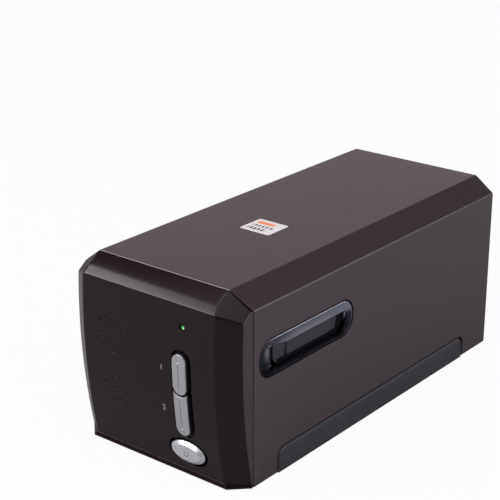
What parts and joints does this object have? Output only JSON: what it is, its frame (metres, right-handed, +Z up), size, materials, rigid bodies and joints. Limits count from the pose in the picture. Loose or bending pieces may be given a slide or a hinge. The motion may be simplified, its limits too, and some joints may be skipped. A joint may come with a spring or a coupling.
{
  "type": "film negative scanner",
  "caption": "Desktop film scanner: faceted casing, slots with dust doors on both sides, scan buttons, and a belt-driven carriage with lamp, lens and sensor inside.",
  "frame": {"origin": "centre of the footprint, at the level of the surface it stands on", "axes": "+Z up, the front panel faces -Y, +Y along the depth, +X to the right seen from the front"},
  "size_m": [0.1252, 0.274, 0.1182],
  "materials": {
    "cover_plastic": "satin",
    "panel_plastic": "satin",
    "tray_plastic": "matte",
    "bezel_plastic": "satin",
    "door_plastic": "satin",
    "pin_steel": "bright",
    "foot_rubber": "matte",
    "button_silver": "silver satin",
    "light_green": "clear green",
    "led_body": "glossy",
    "board_green": "lacquered",
    "chip_black": "matte",
    "screw_steel": "zinc plated",
    "label_paper": "printed film",
    "inner_plastic": "matte black",
    "bracket_steel": "zinc plated sheet",
    "rod_steel": "ground",
    "bushing_bronze": "sintered bronze",
    "mirror_glass": "front surface mirror",
    "lens_black": "black anodised",
    "lens_glass": "coated",
    "diffuser_white": "opal",
    "belt_rubber": "matte",
    "motor_metal": "plated can",
    "pulley_brass": "turned",
    "socket_metal": "nickel"
  },
  "bodies": {
    "root": {"top_cover": "cover_plastic", "front_panel": "panel_plastic", "rear_panel": "panel_plastic", "base_tray": "tray_plastic", "right_slot_bezel": "bezel_plastic", "left_slot_bezel": "bezel_plastic", "right_hinge_pin": "pin_steel", "left_hinge_pin": "pin_steel", "right_foot_strip": "foot_rubber", "left_foot_strip": "foot_rubber", "light_pipe": "light_green", "panel_board": "board_green", "panel_switches": "chip_black", "status_led": "led_body", "panel_board_screws": "screw_steel", "top_label": "label_paper", "holder_tunnel": "inner_plastic", "front_rod_bracket": "bracket_steel", "rear_rod_bracket": "bracket_steel", "main_guide_rod": "rod_steel", "side_guide_rod": "rod_steel", "drive_belt": "belt_rubber", "stepper_motor": "motor_metal", "motor_bracket": "bracket_steel", "motor_screws": "screw_steel", "idler_pin": "pin_steel", "main_board": "board_green", "board_chips": "chip_black", "usb_socket": "socket_metal", "power_inlet": "chip_black", "main_board_screws": "screw_steel", "case_screws": "screw_steel", "rear_screws": "screw_steel", "bracket_screws": "screw_steel", "tunnel_screws": "screw_steel"},
    "upper_key": {"upper_scan_button": "button_silver"},
    "lower_key": {"lower_scan_button": "button_silver"},
    "power_key": {"power_button": "button_silver"},
    "right_door": {"right_dust_door": "door_plastic"},
    "left_door": {"left_dust_door": "door_plastic"},
    "carriage": {"carriage_frame": "inner_plastic", "carriage_lid": "inner_plastic", "rod_bushings": "bushing_bronze", "scan_mirror": "mirror_glass", "lens_barrel": "lens_black", "lens_glass": "lens_glass", "sensor_board": "board_green", "image_sensor": "chip_black", "lamp_arm": "inner_plastic", "lamp_board": "led_body", "lamp_diffuser": "diffuser_white", "belt_clamp": "inner_plastic"},
    "motor_rotor": {"motor_shaft": "pin_steel", "motor_pulley": "pulley_brass"},
    "idler": {"idler_pulley": "pulley_brass"}
  },
  "joints": [
    {"name": "upper_scan_press", "type": "slide", "parent": "root", "child": "upper_key", "axis": [0, 1, 0], "range_m": [0, 0.0012], "stiffness_N_per_m": 900, "springref_m": -0.0005},
    {"name": "lower_scan_press", "type": "slide", "parent": "root", "child": "lower_key", "axis": [0, 1, 0], "range_m": [0, 0.0012], "stiffness_N_per_m": 900, "springref_m": -0.0005},
    {"name": "power_press", "type": "slide", "parent": "root", "child": "power_key", "axis": [0, 1, 0], "range_m": [0, 0.0014], "stiffness_N_per_m": 1000, "springref_m": -0.0005},
    {"name": "right_door_swing", "type": "hinge", "parent": "root", "child": "right_door", "pos_m": [0.0552, -0.05975, 0.0782], "axis": [0, 1, 0], "range_deg": [0, 75], "stiffness_Nm_per_rad": 0.002, "springref_deg": -17.19},
    {"name": "left_door_swing", "type": "hinge", "parent": "root", "child": "left_door", "pos_m": [-0.0552, -0.05975, 0.0782], "axis": [0, 1, 0], "range_deg": [0, 75], "stiffness_Nm_per_rad": 0.002, "springref_deg": -17.19},
    {"name": "scan_slide", "type": "slide", "parent": "root", "child": "carriage", "axis": [0, 1, 0], "range_m": [0, 0.03]},
    {"name": "motor_spin", "type": "hinge", "parent": "root", "child": "motor_rotor", "pos_m": [-0.038, 0.107, 0.0131], "axis": [0, 0, 1], "range_deg": [0, 297]},
    {"name": "idler_spin", "type": "hinge", "parent": "root", "child": "idler", "pos_m": [-0.038, -0.092, 0.0131], "axis": [0, 0, 1], "range_deg": [0, 297]}
  ],
  "couplings": [
    {"joint": "motor_spin", "follows": "scan_slide", "rad_per_m": 169.49},
    {"joint": "idler_spin", "follows": "scan_slide", "rad_per_m": 169.49}
  ]
}
